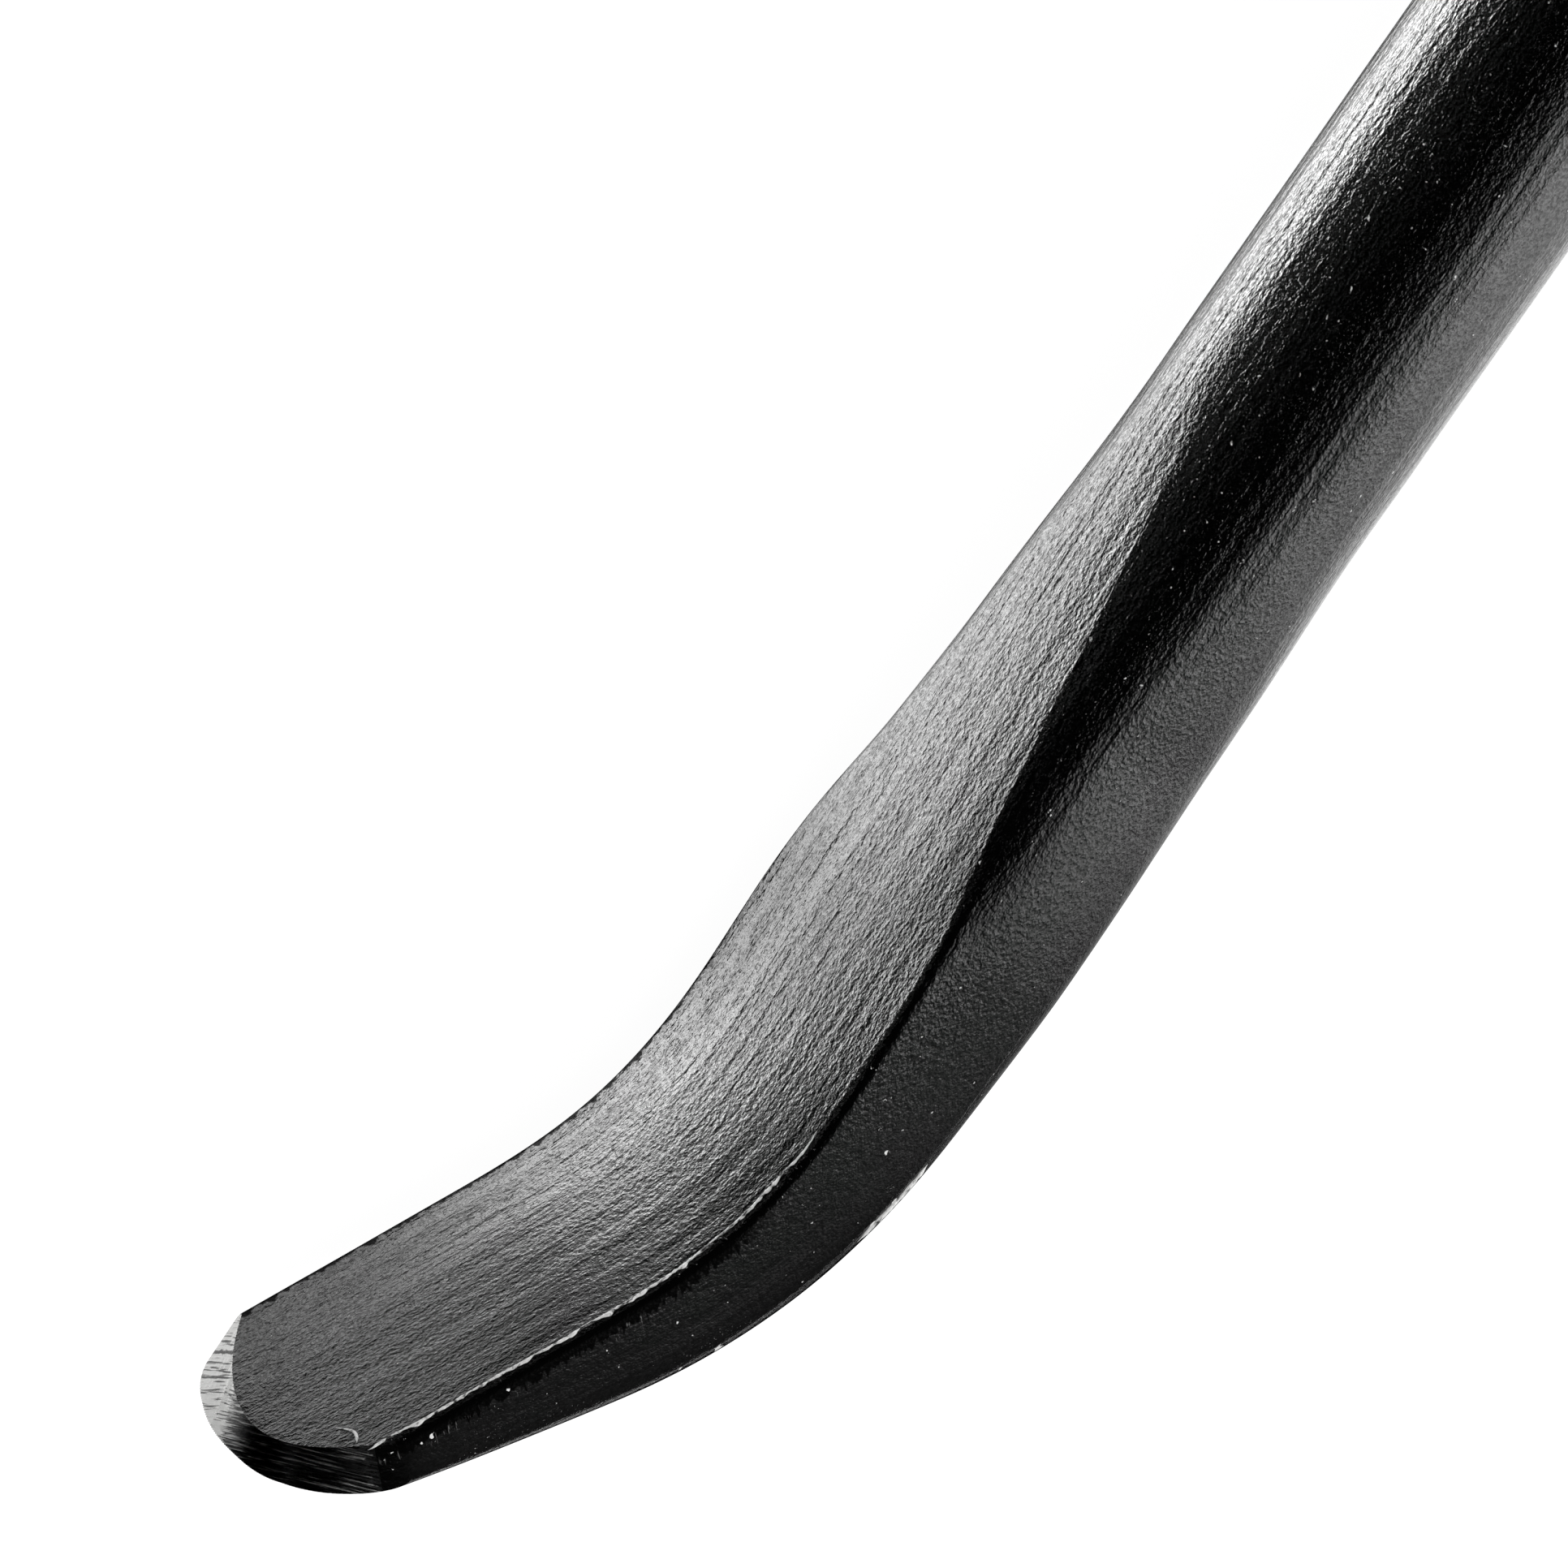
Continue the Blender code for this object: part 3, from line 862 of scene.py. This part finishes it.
def claw_outline():
    """The space round the claw seen square to its face: its sides, corners and nail slot."""
    half = CLAW_WIDTH / 2
    corner = CLAW_CORNER_RADIUS
    far_side = half + CUT_BEYOND
    flare = math.atan2(SLOT_MOUTH / 2 - SLOT_ROOT_RADIUS, SLOT_DEPTH - SLOT_ROOT_RADIUS)
    root_centre = (SLOT_ROOT_RADIUS - SLOT_DEPTH, 0)
    root = arc(root_centre, SLOT_ROOT_RADIUS, math.pi / 2 + flare, 3 * math.pi / 2 - flare)
    back = CLAW_WIDENS[0] - HOOK_LENGTH
    upper = [(CUT_BEYOND, far_side), (back, far_side), (back, half)]
    upper += arc((-corner, half - corner), corner, math.pi / 2, 0) + [(0, SLOT_MOUTH / 2)]
    return upper + root + [(x, -y) for x, y in reversed(upper)]


def claw_cutter(surface):
    _, centre, heading = walk_hook(HOOK_LENGTH)[-1]
    forward = direction(heading)
    square = forward.cross(WIDTH_AXIS)
    rings = []
    for level in (-CUT_DEPTH / 2, CUT_DEPTH / 2):
        rings.append([centre + x * forward + y * WIDTH_AXIS + level * square for x, y in claw_outline()])
    return loft("claw_cutter", rings, surface)


def lay_out_straight(mesh):
    """Gives each point its place (along, across, towards the face) on the bar as if it were straight.

    A second place holds how far the point lies below the face's level and from the far edge.
    """
    stations = stations_towards_chisel()
    tree = kdtree.KDTree(len(stations))
    for index, (_, centre, _) in enumerate(stations):
        tree.insert(centre, index)
    tree.balance()
    places = {STRAIGHT_PLACE: [], EDGE_PLACE: []}
    for vert in mesh.vertices:
        station, centre, heading = stations[tree.find(vert.co)[1]]
        offset = vert.co - centre
        height = offset.dot(face_side(heading))
        places[STRAIGHT_PLACE] += (station + offset.dot(direction(heading)), offset.z, height)
        section = chisel_section(station)
        places[EDGE_PLACE] += (section.face - height, section.half_width + offset.z, 0)
    for name, values in places.items():
        mesh.attributes.new(name, "FLOAT_VECTOR", "POINT").data.foreach_set("vector", values)


# The bar's materials, in the order in which its mesh holds them
PAINTED = 0
GROUND = 1


def keep_paint_beside_end(mesh):
    """Only the end itself is bare: the near side's curve up to it is painted."""
    places = mesh.attributes[STRAIGHT_PLACE].data
    for polygon in mesh.polygons:
        along, across, _ = places[polygon.vertices[0]].vector
        if polygon.material_index == GROUND and across > 0 and along < GROUND_FROM:
            polygon.material_index = PAINTED


def crowbar(enamel, steel):
    bar = loft("crowbar", bar_rings(), enamel, steel)
    for cutter in (claw_cutter(enamel), tip_cutter(steel)):
        cut = bar.modifiers.new(cutter.name, "BOOLEAN")
        cut.operation = "DIFFERENCE"
        cut.solver = "EXACT"
        cut.material_mode = "TRANSFER"
        cut.object = cutter
        bpy.context.view_layer.objects.active = bar
        bpy.ops.object.modifier_apply(modifier=cut.name)
        bpy.data.objects.remove(cutter, do_unlink=True)
    bar.data.shade_smooth()
    bar.data.set_sharp_from_angle(angle=SHARP_ANGLE)
    lay_out_straight(bar.data)
    keep_paint_beside_end(bar.data)
    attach(bar, "root")
    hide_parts("forged_bar")


# Torn metal

def wave(distance, length, seed):
    """Smooth chance between about -0.5 and 0.5 along a line."""
    return noise.noise(Vector((distance / length, seed, 0)))


def ragged_thread(name, path, size, flatness, raggedness, surface):
    """A thread of torn metal along a path of (distance, place, outward, upward, fading)."""
    rings = []
    for distance, place, outward, upward, fading in path:
        slow = wave(distance, *SLOW_WAVE)
        coarse = wave(distance, *COARSE_WAVE)
        middle = wave(distance, *MIDDLE_WAVE)
        fine = wave(distance, *FINE_WAVE)
        thickness = max(0.6 + raggedness * (0.6 * coarse + 0.5 * middle + 0.3 * fine), THREAD_LEAST)
        radius = size * thickness * fading + THREAD_CORE
        sway = THREAD_SWAY * raggedness * (1.2 * slow + 0.7 * coarse + 0.4 * middle)
        points = []
        for index in range(THREAD_SIDES):
            turn = 2 * math.pi * index / THREAD_SIDES
            aside = sway + radius * math.cos(turn)
            rise = radius * (flatness * math.sin(turn) - THREAD_LEAN * math.cos(turn))
            points.append(place + aside * outward + rise * upward)
        rings.append(points)
    piece = loft(name, rings, surface)
    piece.data.shade_smooth()
    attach(piece, "root")


def thread_stations(start, full, end):
    """Distance, centre, direction of the face, section and fading along a stretch of the blade."""
    for station, centre, heading in walk_chisel(end, THREAD_SPACING):
        if station > start:
            fading = ease(station, start, full) * (1 - ease(station, end - THREAD_FADE, end))
            yield station, centre, face_side(heading), chisel_section(station), fading


def edge_burr_path():
    """Along the blade's near edge, from the bend to the ground end."""
    for station, centre, upward, section, fading in thread_stations(BURR_FROM, BURR_FULL_FROM, BURR_TO):
        across = section.half_width - CORNER_RADIUS
        place = centre + across * WIDTH_AXIS + (section.face + THREAD_LIFT) * upward
        yield station, on_bar(place, centre), WIDTH_AXIS, upward, fading


def curl_path():
    """From the end of the edge burr in over the face, bowed a little along the blade."""
    station, centre, heading = walk_chisel(BURR_TO - CURL_BEFORE_END, THREAD_SPACING)[-1]
    upward = face_side(heading)
    section = chisel_section(station)
    start = section.half_width - CORNER_RADIUS - CURL_INSIDE_EDGE
    steps = round(CURL_REACH / THREAD_SPACING)
    for step in range(steps + 1):
        share = step / steps
        bow = CURL_START - CURL_BOW * math.sin(math.pi * share) + CURL_LEAN * share
        place = centre + (start - CURL_REACH * share) * WIDTH_AXIS
        place += section.face * upward + bow * direction(heading)
        fading = ease(share, 0, 0.15) * (1 - 0.8 * ease(share, 0.6, 1))
        yield CURL_REACH * share + CURL_WAVES_FROM, place, -direction(heading), upward, fading


def flakes_path():
    """A short way along the heel's near edge."""
    stretch = thread_stations(FLAKES_FROM, FLAKES_FROM + THREAD_FADE, FLAKES_TO)
    for station, centre, upward, section, fading in stretch:
        across = section.side_at(FLAKES_SHARE) + THREAD_LIFT
        place = centre + across * WIDTH_AXIS - FLAKES_SHARE * section.heel * upward
        yield station, on_bar(place, centre), upward, WIDTH_AXIS, fading


def burrs(surface):
    """The lip rolled up along the near edge, the curl at its end, and flakes on the heel."""
    ragged_thread("edge_burr", edge_burr_path(), BURR_SIZE, 0.6, 1.3, surface)
    ragged_thread("burr_curl", curl_path(), CURL_SIZE, 1.0, 0.5, surface)
    ragged_thread("heel_flakes", flakes_path(), FLAKES_SIZE, 0.9, 0.5, surface)


# The hand grip

def rounded(profile):
    """Breaks each corner of a closed profile of (radius, distance) with a small arc."""
    result = []
    count = len(profile)
    for index, corner in enumerate(profile):
        here = Vector(corner)
        before = Vector(profile[index - 1]) - here
        after = Vector(profile[(index + 1) % count]) - here
        reach = min(EDGE_ROUND, before.length * EDGE_ROUND_SHARE, after.length * EDGE_ROUND_SHARE)
        start = here + before.normalized() * reach
        end = here + after.normalized() * reach
        for step in range(ROUND_STEPS + 1):
            share = step / ROUND_STEPS
            result.append(start.lerp(here, share).lerp(here.lerp(end, share), share))
    return result


def turned(name, profile, surface):
    """Turns a closed profile about the shank, from the grip's chisel end towards the hook."""
    shape = bmesh.new()
    start = FACE_START.x - GRIP_FROM_FACE
    rows = []
    for side in range(TURNED_SIDES):
        angle = 2 * math.pi * side / TURNED_SIDES
        row = []
        for radius, distance in profile:
            place = (start - distance, radius * math.cos(angle), radius * math.sin(angle))
            row.append(shape.verts.new(Vector(place) + Vector((0, FACE_START.y, FACE_START.z))))
        rows.append(row)
    skin(shape, rows + rows[:1])
    piece = add_shape(name, shape, surface)
    piece.data.shade_smooth()
    piece.data.set_sharp_from_angle(angle=SHARP_ANGLE)
    return piece


def sleeve_profile():
    top = GRIP_LENGTH - COLLAR_LIP - CLEARANCE
    profile = [(CORE_BORE, top), (CORE_OUTER, top), (CORE_OUTER, FLANGE_LENGTH)]
    return profile + [(GRIP_RADIUS, FLANGE_LENGTH), (GRIP_RADIUS, 0), (CORE_BORE, 0)]


def collar_profile():
    step = GRIP_LENGTH - COLLAR_LIP
    base = GRIP_LENGTH - COLLAR_LENGTH
    profile = [(GRIP_RADIUS, GRIP_LENGTH), (GRIP_RADIUS, base), (COVER_BORE, base)]
    return profile + [(COVER_BORE, step), (CORE_BORE, step), (CORE_BORE, GRIP_LENGTH)]


def cover_profile():
    bottom = FLANGE_LENGTH + CLEARANCE
    top = GRIP_LENGTH - COLLAR_LENGTH - CLEARANCE
    first = bottom + GROOVE_END_MARGIN
    pitch = (top - bottom - 2 * GROOVE_END_MARGIN) / (GROOVE_COUNT - 1)
    profile = [(GRIP_RADIUS, top)]
    for index in reversed(range(GROOVE_COUNT)):
        middle = first + index * pitch
        profile += [
            (GRIP_RADIUS, middle + GROOVE_WIDTH / 2),
            (GRIP_RADIUS - GROOVE_DEPTH, middle + GROOVE_WIDTH / 4),
            (GRIP_RADIUS - GROOVE_DEPTH, middle - GROOVE_WIDTH / 4),
            (GRIP_RADIUS, middle - GROOVE_WIDTH / 2),
        ]
    return profile + [(GRIP_RADIUS, bottom), (COVER_BORE, bottom), (COVER_BORE, top)]


def grip_pieces(rubber, plastic):
    pieces = (
        ("grip_sleeve", "grip_core", sleeve_profile(), plastic, "hard_plastic"),
        ("grip_collar", "locking_collar", collar_profile(), plastic, "hard_plastic"),
        ("grip_cover_ribbed", "grip_cover", cover_profile(), rubber, "soft_rubber"),
    )
    for name, node, profile, surface, slot in pieces:
        piece = turned(name, rounded(profile), surface)
        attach(piece, "root")
        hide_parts(node)


# Studio

FLOOR_RADIUS = 30.0
FLOOR_SIDES = 96
FLOOR_GLOW = 0.945
FLOOR_SHADOW = 0.2, 0.2, 0.2, 1
FLOOR_COLOUR = 0.8, 0.8, 0.8, 1
WORLD_LIGHT = 0.55
LAMP_SIZE = 0.9, 0.6
LAMP_POWER = 5
LAMP_PLACE = Vector((0.0, 0.5, 0.9))
LAMP_TARGET = Vector((0.1, 0, 0))

# The light that arches over the bar, as (angle from +Y over the top, strength), and along the blade
ARCH_LIGHT = (
    (-2, 0.8), (8, 0.6), (15, 0.55), (30, 0.74), (58, 1.05), (68, 0.94), (77, 0.46), (85, 0.09), (91, 0),
)
ARCH_ALONG = (
    (0.010, 2.0), (0.030, 1.7), (0.040, 1.45), (0.050, 1.25), (0.061, 0.85), (0.066, 0.58), (0.070, 0.46),
    (0.079, 0.23), (0.086, 0.18), (0.092, 0.31), (0.101, 0.27), (0.109, 0.19), (0.114, 0.12), (0.132, 0.07),
)
ARCH_RADIUS = 0.30
ARCH_STEPS = 64

# Cards on the floor. A pair is where a card starts and ends, along the bar or across it from the
# point where the chisel's face starts. SHADE_LIGHT is the grey card's light along the bar.
STUDIO_REACH = 0.9
CARD_HEIGHT = 0.0004
SIDE_CARD_ACROSS = -ARCH_RADIUS, -0.0315
TIP_CARD_FROM = 0.119
TIP_CARD_ACROSS = -0.055, 0.03
END_CARD_ACROSS = -ARCH_RADIUS, 0.1
HEEL_CARD_ALONG = 0.076, 0.135
HEEL_CARD_ACROSS = -0.012, 0.29
SHADE_ACROSS = 0.012, 0.29
SHADE_LIGHT = (0.028, 0.9), (0.042, 0.62), (0.050, 0.42), (0.060, 0.30), (0.076, 0.22)
RIM_CARD_TO = 0.112
RIM_CARD_WIDTH = 0.007
RIM_CARD_BEYOND = 0.0014
RIM_CARD_WIDENS = 0.040, 0.060

# The light panel on the floor beside the face, measured as the cards are: its edges, how it widens,
# and its strength across it and along four lines
PANEL_ALONG = -0.47, 0.100
PANEL_ACROSS = -0.0275, -0.0065
PANEL_WIDENS = 0.020, 0.045
PANEL_WIDENING = 0.0035
PANEL_END_WIDENS = 0.070, 0.085
PANEL_END_WIDENING = 0.006
PANEL_LIMB = (-0.0115, 1), (-0.0065, 0.6)
PANEL_LINES = (
    (-0.0265, (
        (-0.018, 1.6), (0.002, 1.5), (0.018, 2.8), (0.050, 1.8), (0.060, 1.2), (0.066, 0.7),
        (0.070, 0.42), (0.075, 0.45), (0.080, 0.85), (0.086, 1.1), (0.100, 1.5),
    )),
    (-0.0235, (
        (-0.018, 4.0), (0.002, 3.2), (0.016, 4.2), (0.050, 2.5), (0.060, 1.8), (0.066, 0.95),
        (0.070, 0.5), (0.075, 0.7), (0.080, 1.1), (0.086, 1.3), (0.100, 1.6),
    )),
    (-0.0205, (
        (-0.018, 7.4), (0.002, 6.4), (0.014, 5.3), (0.024, 4.3), (0.060, 3.4), (0.068, 2.9),
        (0.0735, 0.55), (0.078, 0.9), (0.086, 1.7), (0.100, 1.7),
    )),
    (-0.0145, (
        (-0.018, 10.0), (0.002, 8.4), (0.014, 5.6), (0.046, 5.0), (0.056, 3.7), (0.065, 4.2),
        (0.0715, 6.1), (0.078, 4.3), (0.084, 3.4), (0.092, 2.7), (0.100, 2.1),
    )),
)


def floor_material():
    """White to the camera, with a light share that still takes the object's shadow."""
    material = bpy.data.materials.new("studio_floor")
    graph = Graph(material)
    graph.nodes.clear()
    plain = graph.node("BsdfDiffuse", {"Color": FLOOR_COLOUR})
    faint = graph.node("BsdfDiffuse", {"Color": FLOOR_SHADOW})
    glow = graph.node("Emission", {"Strength": FLOOR_GLOW})
    white = graph.node("AddShader", {0: faint.outputs[0], 1: glow.outputs[0]})
    choice = graph.node("MixShader", {0: graph.seen_directly(), 1: plain.outputs[0], 2: white.outputs[0]})
    graph.node("OutputMaterial", {"Surface": choice.outputs[0]})
    return material


def make_floor():
    shape = bmesh.new()
    bmesh.ops.create_circle(shape, cap_ends=True, segments=FLOOR_SIDES, radius=FLOOR_RADIUS)
    add_shape("floor", shape, floor_material())


def make_world():
    world = bpy.data.worlds.new("studio")
    bpy.context.scene.world = world
    graph = Graph(world)
    world.cycles.sampling_method = "NONE"
    graph.fill(graph.nodes["Background"], {
        "Color": (1, 1, 1, 1),
        "Strength": graph.seen_directly().ramp(0, 1, WORLD_LIGHT, 1),
    })


class Light(Graph):
    """A glowing sheet whose strength is worked out from the place on it."""

    def __init__(self, name):
        self.material = bpy.data.materials.new(name)
        super().__init__(self.material)
        self.nodes.clear()
        self.glow = self.node("Emission")
        self.node("OutputMaterial", {"Surface": self.glow.outputs[0]})
        x, y, z = self.split(self.node("NewGeometry").outputs["Position"])
        self.along = x - FACE_START.x
        self.across = y - FACE_START.y
        self.above = z - FACE_START.z

    def shine(self, strength):
        self.fill(self.glow, {"Strength": strength})
        return self.material


def sheet(name, rows, surface):
    """A sheet through rows of two points each, which shows in reflections and nowhere else."""
    mesh = bpy.data.meshes.new(name)
    faces = [(first, first + 1, first + 3, first + 2) for first in range(0, 2 * len(rows) - 2, 2)]
    mesh.from_pydata([point for row in rows for point in row], [], faces)
    obj = add_object(name, mesh, surface)
    obj.visible_camera = False
    obj.visible_diffuse = False
    obj.visible_transmission = False
    obj.visible_shadow = False


def floor_card(name, along, across, surface):
    sheet(name, [[(x, FACE_START.y + y, CARD_HEIGHT) for y in across] for x in along], surface)


def make_arch():
    """Pale over the blade's side, dark over its face, so that the enamel mirrors both."""
    light = Light("arch_light")
    angle = light.above.combine("ARCTAN2", light.across) * math.degrees(1)
    surface = light.shine(angle.curve(ARCH_LIGHT) * light.along.curve(ARCH_ALONG))
    rows = []
    for step in range(ARCH_STEPS + 1):
        turn = math.pi * step / ARCH_STEPS
        y = FACE_START.y + ARCH_RADIUS * math.cos(turn)
        z = FACE_START.z + ARCH_RADIUS * math.sin(turn)
        rows.append(((-STUDIO_REACH, y, z), (STUDIO_REACH, y, z)))
    sheet("light_arch", rows, surface)


def make_cards():
    """Black cards beside the face, under the bar, by the heel and beyond the tip, and a grey one."""
    black = Light("black_card").shine(0.0)
    floor_card("dark_side_card", (-STUDIO_REACH, STUDIO_REACH), SIDE_CARD_ACROSS, black)
    floor_card("dark_tip_card", (FACE_START.x + TIP_CARD_FROM, STUDIO_REACH), TIP_CARD_ACROSS, black)
    floor_card("dark_heel_card", [FACE_START.x + x for x in HEEL_CARD_ALONG], HEEL_CARD_ACROSS, black)
    shade = Light("shaded_floor")
    places = [FACE_START.x + SHADE_LIGHT[end][0] for end in (0, -1)]
    floor_card("shaded_heel_card", places, SHADE_ACROSS, shade.shine(shade.along.curve(SHADE_LIGHT)))
    end = [[(STUDIO_REACH, FACE_START.y + y, z) for y in END_CARD_ACROSS] for z in (0, ARCH_RADIUS)]
    sheet("dark_end_card", end, black)
    # The rim card is painted shadow: a black strip on the floor under the bar, which the enamel mirrors as
    # the bar's shadow there.
    rim = []
    for along, centre, heading in stations_towards_chisel():
        if -SHANK_LENGTH < along < RIM_CARD_TO:
            face = chisel_section(along).face
            nearer = face / 2 + (face / 2 + RIM_CARD_BEYOND) * ease(along, *RIM_CARD_WIDENS)
            ends = [centre + reach * face_side(heading) for reach in (nearer, nearer - RIM_CARD_WIDTH)]
            rim.append([(point.x, point.y, CARD_HEIGHT) for point in ends])
    sheet("dark_rim_card", rim, black)


def panel_light():
    """The strength of the light panel, brightest beside the shank and at the bend."""
    light = Light("light_panel")
    place, stops = PANEL_LINES[0]
    strength = light.along.curve(stops)
    for next_place, next_stops in PANEL_LINES[1:]:
        share = light.across.ramp(place, next_place)
        strength = strength.towards(light.along.curve(next_stops), share)
        place = next_place
    return light.shine(strength * light.across.curve(PANEL_LIMB))


def make_panel():
    """A light panel on the floor along the face side."""
    outer, inner = [FACE_START.y + y for y in PANEL_ACROSS]
    start, end = [FACE_START.x + x for x in PANEL_ALONG]
    height = 2 * CARD_HEIGHT
    rows = [[(start, y, height) for y in (outer, inner)]]
    for station, centre, heading in walk_chisel(CHISEL_LENGTH):
        x, y, _ = centre + (chisel_section(station).face + RIM_CARD_BEYOND) * face_side(heading)
        if x < end:
            wider = PANEL_WIDENING * ease(x - FACE_START.x, *PANEL_WIDENS)
            wider += PANEL_END_WIDENING * ease(x - FACE_START.x, *PANEL_END_WIDENS)
            rows.append([(x, outer - wider, height), (x, min(inner, y), height)])
    sheet("light_panel", rows, panel_light())


def make_lamp():
    lamp = bpy.data.lights.new("softbox", "AREA")
    lamp.shape = "RECTANGLE"
    lamp.size, lamp.size_y = LAMP_SIZE
    lamp.energy = LAMP_POWER
    obj = link("softbox", lamp)
    obj.visible_glossy = False
    obj.location = LAMP_PLACE
    obj.rotation_euler = (LAMP_TARGET - LAMP_PLACE).to_track_quat("-Z", "Y").to_euler()


def make_camera():
    camera = bpy.data.cameras.new("camera")
    camera.lens = CAMERA_LENS
    camera.sensor_width = SENSOR_WIDTH
    camera.clip_start = 0.01
    camera.clip_end = 100
    obj = link("camera", camera)
    back = Vector((
        math.sin(CAMERA_AZIMUTH) * math.cos(CAMERA_ELEVATION),
        -math.cos(CAMERA_AZIMUTH) * math.cos(CAMERA_ELEVATION),
        math.sin(CAMERA_ELEVATION),
    ))
    level = back.to_track_quat("Z", "Y").to_matrix()
    rotation = (level @ Matrix.Rotation(CAMERA_ROLL, 3, "Z")).to_4x4()
    distance = FRAME_WIDTH * CAMERA_LENS / SENSOR_WIDTH
    obj.matrix_world = Matrix.Translation(FACE_START + AIM + back * distance) @ rotation
    bpy.context.scene.camera = obj


make_camera()
make_floor()
make_world()
make_arch()
make_cards()
make_panel()
make_lamp()
crowbar(black_enamel(), ground_tip())
burrs(bare_steel_and_glint())
grip_pieces(grip_rubber(), grip_plastic())
bpy.context.scene.view_settings.view_transform = "Standard"
